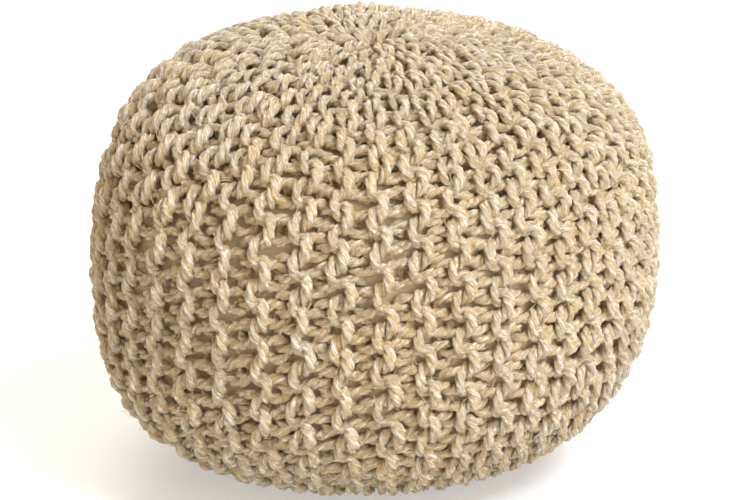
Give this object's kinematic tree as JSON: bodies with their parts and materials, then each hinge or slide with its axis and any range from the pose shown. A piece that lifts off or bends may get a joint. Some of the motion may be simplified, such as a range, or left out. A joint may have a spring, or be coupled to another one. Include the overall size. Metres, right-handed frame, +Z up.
{
  "type": "round knitted pouf",
  "caption": "Round knitted floor pouf: ribbed jute cover gathered at the top over a filled round casing, resting on a flat foot.",
  "frame": {"origin": "centre of the foot, on the floor under the middle of the object's box", "axes": "+Z up from the foot to the top gather, +X to the right and +Y away from the side the picture shows"},
  "size_m": [0.4788, 0.4786, 0.3652],
  "materials": {
    "jute_yarn": "thick plied natural jute yarn, slightly hairy, soft sheen on the strands",
    "casing_cotton": "plain matte woven cotton, beige"
  },
  "bodies": {
    "root": {"knit_cover": "jute_yarn", "inner_casing": "casing_cotton"}
  },
  "joints": []
}
